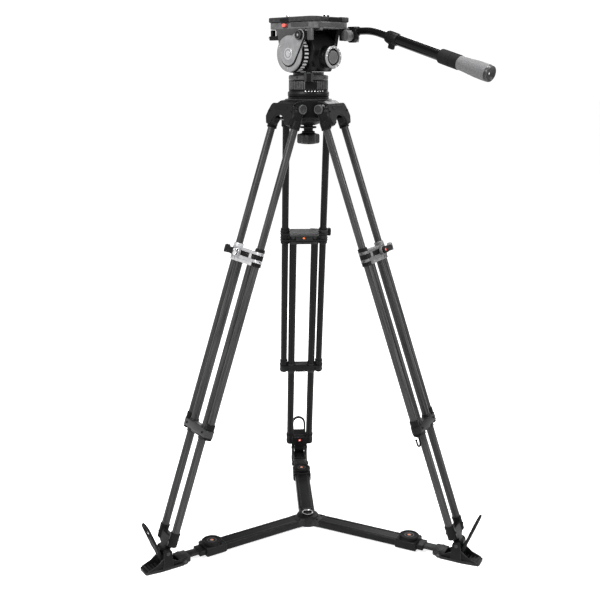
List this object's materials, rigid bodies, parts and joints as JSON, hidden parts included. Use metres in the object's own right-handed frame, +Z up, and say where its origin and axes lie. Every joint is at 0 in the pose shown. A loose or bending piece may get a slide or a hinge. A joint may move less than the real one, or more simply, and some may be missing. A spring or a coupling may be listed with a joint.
{
  "type": "video tripod with fluid head and ground spreader",
  "caption": "Two-stage carbon video tripod with tandem-tube legs, ground spreader, half-ball bowl, fluid pan-tilt head and pan bar.",
  "frame": {"origin": "on the floor, under the centre of the ground spreader's hub", "axes": "+Z up; +Y along the floor towards the rear leg; +X to the right of the rear leg as seen from the front"},
  "size_m": [0.8574, 0.8242, 1.327],
  "materials": {
    "anodised": "black anodised",
    "black_casting": "powder-coated magnesium and aluminium, fine texture",
    "black_plastic": "moulded, fine grain",
    "carbon_tube": "woven carbon fibre, satin",
    "foam": "grey grip rubber",
    "grey_casting": "satin grey anodised",
    "red_button": "red",
    "rubber": "matt black rubber",
    "side_grey": "grey cover",
    "steel": "bright screws and pins"
  },
  "bodies": {
    "spreader": {"spreader_hub": "black_casting", "spreader_outer_arms": "anodised"},
    "rear_arm": {"rear_sliding_arm": "anodised"},
    "rear_arm_lock": {"rear_arm_knob": "black_plastic"},
    "rear_foot": {"rear_foot_shoe": "black_casting", "rear_pull_loop": "rubber"},
    "rear_leg_lower": {"rear_foot_bracket": "black_casting", "rear_inner_tubes": "carbon_tube", "rear_clamp_body": "black_casting"},
    "rear_leg_lock": {"rear_lock_lever": "black_plastic"},
    "rear_leg_upper": {"rear_leg_yoke": "black_casting", "rear_outer_tubes": "carbon_tube", "rear_lower_bracket": "black_casting"},
    "left_arm": {"left_sliding_arm": "anodised"},
    "left_arm_lock": {"left_arm_knob": "black_plastic"},
    "left_foot": {"left_foot_shoe": "black_casting", "left_pull_loop": "rubber"},
    "left_leg_lower": {"left_foot_bracket": "black_casting", "left_inner_tubes": "carbon_tube", "left_clamp_body": "grey_casting"},
    "left_leg_lock": {"left_lock_lever": "black_plastic"},
    "left_leg_upper": {"left_leg_yoke": "black_casting", "left_outer_tubes": "carbon_tube", "left_lower_bracket": "grey_casting"},
    "right_arm": {"right_sliding_arm": "anodised"},
    "right_arm_lock": {"right_arm_knob": "black_plastic"},
    "right_foot": {"right_foot_shoe": "black_casting", "right_pull_loop": "rubber"},
    "right_leg_lower": {"right_foot_bracket": "black_casting", "right_inner_tubes": "carbon_tube", "right_clamp_body": "black_casting"},
    "right_leg_lock": {"right_lock_lever": "black_plastic"},
    "right_leg_upper": {"right_leg_yoke": "black_casting", "right_outer_tubes": "carbon_tube", "right_lower_bracket": "black_casting"},
    "apex": {"apex_casting": "black_casting", "apex_hinge_bolts": "black_casting"},
    "clamp_dish": {"bowl_clamp_dish": "anodised"},
    "half_ball": {"levelling_half_ball": "anodised"},
    "tie_down": {"tie_down_knob": "black_plastic"},
    "pan_ring": {"pan_drag_ring": "rubber"},
    "head": {"pan_base": "black_casting", "head_housing": "black_casting"},
    "pan_lock": {"pan_lock_lever": "black_plastic"},
    "tilt_ring": {"tilt_drag_ring": "rubber"},
    "dial": {"counterbalance_dial": "black_plastic"},
    "platform": {"tilt_platform": "black_casting", "tilt_axle": "steel", "side_disc_cover": "side_grey"},
    "tilt_lock": {"tilt_lock_knob": "black_plastic"},
    "plate_lever": {"plate_lock_lever": "black_plastic"},
    "button": {"release_button": "red_button"},
    "plate": {"camera_plate": "anodised", "camera_screws": "steel"},
    "bar": {"pan_bar_clamp": "black_casting", "pan_bar_inner_tube": "anodised"},
    "bar_knob": {"pan_bar_knob": "grey_casting"},
    "bar_outer": {"pan_bar_outer_tube": "carbon_tube", "pan_bar_grip": "foam"},
    "bar_collar": {"pan_bar_collar": "black_plastic"}
  },
  "joints": [
    {"name": "spreader_reach", "type": "slide", "parent": "spreader", "child": "rear_arm", "axis": [0, -1, 0], "range_m": [-0.06, 0.015]},
    {"name": "rear_arm_knob_turn", "type": "hinge", "parent": "spreader", "child": "rear_arm_lock", "pos_m": [0, 0.293, 0.03], "axis": [0, 0, 1], "range_deg": [-90, 90]},
    {"name": "rear_foot_slide", "type": "slide", "parent": "rear_arm", "child": "rear_foot", "axis": [0, 1, 0], "range_m": [-0.0215, 0.095]},
    {"name": "rear_foot_pivot", "type": "hinge", "parent": "rear_foot", "child": "rear_leg_lower", "pos_m": [0, 0.425, 0.045], "axis": [1, 0, 0], "range_deg": [-1, 3.5]},
    {"name": "leg_extension", "type": "slide", "parent": "rear_leg_lower", "child": "rear_leg_upper", "axis": [0, -0.3263, 0.9453], "range_m": [-0.06, 0.28]},
    {"name": "rear_shoulder", "type": "hinge", "parent": "rear_leg_upper", "child": "apex", "pos_m": [0, 0.058, 1.108], "axis": [1, 0, 0], "range_deg": [-3.5, 1]},
    {"name": "rear_leg_lock_turn", "type": "hinge", "parent": "rear_leg_lower", "child": "rear_leg_lock", "pos_m": [0.022, 0.17744, 0.76204], "axis": [0, 0.9453, 0.3263], "range_deg": [-70, 0]},
    {"name": "left_arm_slide", "type": "slide", "parent": "spreader", "child": "left_arm", "axis": [0.866, 0.5, 0], "range_m": [-0.06, 0.015]},
    {"name": "left_arm_knob_turn", "type": "hinge", "parent": "spreader", "child": "left_arm_lock", "pos_m": [-0.25374, -0.1465, 0.03], "axis": [0, 0, 1], "range_deg": [-90, 90]},
    {"name": "left_shoulder", "type": "hinge", "parent": "apex", "child": "left_leg_upper", "pos_m": [-0.05023, -0.029, 1.108], "axis": [-0.5, 0.866, 0], "range_deg": [-1, 3.5]},
    {"name": "left_leg_slide", "type": "slide", "parent": "left_leg_upper", "child": "left_leg_lower", "axis": [-0.2826, -0.1632, -0.9453], "range_m": [-0.06, 0.28]},
    {"name": "left_foot_pivot", "type": "hinge", "parent": "left_leg_lower", "child": "left_foot", "pos_m": [-0.36806, -0.2125, 0.045], "axis": [-0.5, 0.866, 0], "range_deg": [-3.5, 1]},
    {"name": "left_leg_lock_turn", "type": "hinge", "parent": "left_leg_lower", "child": "left_leg_lock", "pos_m": [-0.16467, -0.06967, 0.76204], "axis": [-0.8186, -0.4726, 0.3263], "range_deg": [-70, 0]},
    {"name": "right_arm_slide", "type": "slide", "parent": "spreader", "child": "right_arm", "axis": [-0.866, 0.5, 0], "range_m": [-0.06, 0.015]},
    {"name": "right_arm_knob_turn", "type": "hinge", "parent": "spreader", "child": "right_arm_lock", "pos_m": [0.25374, -0.1465, 0.03], "axis": [0, 0, 1], "range_deg": [-90, 90]},
    {"name": "right_shoulder", "type": "hinge", "parent": "apex", "child": "right_leg_upper", "pos_m": [0.05023, -0.029, 1.108], "axis": [-0.5, -0.866, 0], "range_deg": [-1, 3.5]},
    {"name": "right_leg_slide", "type": "slide", "parent": "right_leg_upper", "child": "right_leg_lower", "axis": [0.2826, -0.1632, -0.9453], "range_m": [-0.06, 0.28]},
    {"name": "right_foot_pivot", "type": "hinge", "parent": "right_leg_lower", "child": "right_foot", "pos_m": [0.36806, -0.2125, 0.045], "axis": [-0.5, -0.866, 0], "range_deg": [-3.5, 1]},
    {"name": "right_leg_lock_turn", "type": "hinge", "parent": "right_leg_lower", "child": "right_leg_lock", "pos_m": [0.16467, -0.06967, 0.76204], "axis": [0.8186, -0.4726, 0.3263], "range_deg": [0, 70]},
    {"name": "level_side", "type": "hinge", "parent": "apex", "child": "clamp_dish", "pos_m": [0, 0, 1.131], "axis": [1, 0, 0], "range_deg": [-3.5, 3.5]},
    {"name": "level_fore", "type": "hinge", "parent": "clamp_dish", "child": "half_ball", "pos_m": [0, 0, 1.131], "axis": [0, 1, 0], "range_deg": [-3.5, 3.5]},
    {"name": "tie_down_turn", "type": "hinge", "parent": "half_ball", "child": "tie_down", "pos_m": [0, 0, 1.04], "axis": [0, 0, 1], "continuous": true},
    {"name": "pan_drag_turn", "type": "hinge", "parent": "half_ball", "child": "pan_ring", "pos_m": [0, 0, 1.163], "axis": [0, 0, 1], "range_deg": [-150, 150]},
    {"name": "pan", "type": "hinge", "parent": "half_ball", "child": "head", "pos_m": [0, 0, 1.18], "axis": [0, 0, 1], "continuous": true},
    {"name": "pan_lock_turn", "type": "hinge", "parent": "head", "child": "pan_lock", "pos_m": [-0.00262, -0.04993, 1.1812], "axis": [-0.0523, -0.9986, 0], "range_deg": [0, 80]},
    {"name": "tilt", "type": "hinge", "parent": "head", "child": "platform", "pos_m": [0, 0, 1.236], "axis": [0.766, 0.6428, 0], "range_deg": [-65, 26]},
    {"name": "tilt_drag_turn", "type": "hinge", "parent": "head", "child": "tilt_ring", "pos_m": [-0.036, -0.03021, 1.236], "axis": [0.766, 0.6428, 0], "range_deg": [-150, 150]},
    {"name": "counterbalance_turn", "type": "hinge", "parent": "head", "child": "dial", "pos_m": [0.05331, -0.05187, 1.228], "axis": [0.6428, -0.766, 0], "continuous": true},
    {"name": "tilt_lock_turn", "type": "hinge", "parent": "platform", "child": "tilt_lock", "pos_m": [-0.02727, -0.0764, 1.278], "axis": [0.766, 0.6428, 0], "range_deg": [-90, 90]},
    {"name": "plate_lever_turn", "type": "hinge", "parent": "platform", "child": "plate_lever", "pos_m": [-0.06955, 0.00821, 1.28], "axis": [0, 0, 1], "range_deg": [0, 40]},
    {"name": "button_press", "type": "slide", "parent": "platform", "child": "button", "axis": [0.766, 0.6428, 0], "range_m": [0, 0.0025], "stiffness_N_per_m": 400},
    {"name": "plate_slide", "type": "slide", "parent": "platform", "child": "plate", "axis": [0.6428, -0.766, 0], "range_m": [-0.03, 0.03]},
    {"name": "bar_angle", "type": "hinge", "parent": "platform", "child": "bar", "pos_m": [0.09739, -0.02272, 1.278], "axis": [0.766, 0.6428, 0], "range_deg": [-50, 20]},
    {"name": "bar_knob_turn", "type": "hinge", "parent": "platform", "child": "bar_knob", "pos_m": [0.10888, -0.01307, 1.278], "axis": [0.766, 0.6428, 0], "continuous": true},
    {"name": "bar_telescope", "type": "slide", "parent": "bar", "child": "bar_outer", "axis": [0.6179, -0.7364, -0.2756], "range_m": [0, 0.09]},
    {"name": "bar_collar_turn", "type": "hinge", "parent": "bar_outer", "child": "bar_collar", "pos_m": [0.18732, -0.11356, 1.26953], "axis": [0.6179, -0.7364, -0.2756], "range_deg": [0, 60]}
  ],
  "couplings": [
    {"joint": "rear_foot_slide", "follows": "leg_extension", "ratio": 0.32635},
    {"joint": "rear_foot_pivot", "follows": "spreader_reach", "rad_per_m": -0.94518},
    {"joint": "rear_shoulder", "follows": "spreader_reach", "rad_per_m": 0.94518},
    {"joint": "left_arm_slide", "follows": "spreader_reach", "ratio": 1},
    {"joint": "left_shoulder", "follows": "spreader_reach", "rad_per_m": -0.94518},
    {"joint": "left_leg_slide", "follows": "leg_extension", "ratio": 1},
    {"joint": "left_foot_pivot", "follows": "spreader_reach", "rad_per_m": 0.94518},
    {"joint": "right_arm_slide", "follows": "spreader_reach", "ratio": 1},
    {"joint": "right_shoulder", "follows": "spreader_reach", "rad_per_m": -0.94518},
    {"joint": "right_leg_slide", "follows": "leg_extension", "ratio": 1},
    {"joint": "right_foot_pivot", "follows": "spreader_reach", "rad_per_m": 0.94518}
  ]
}
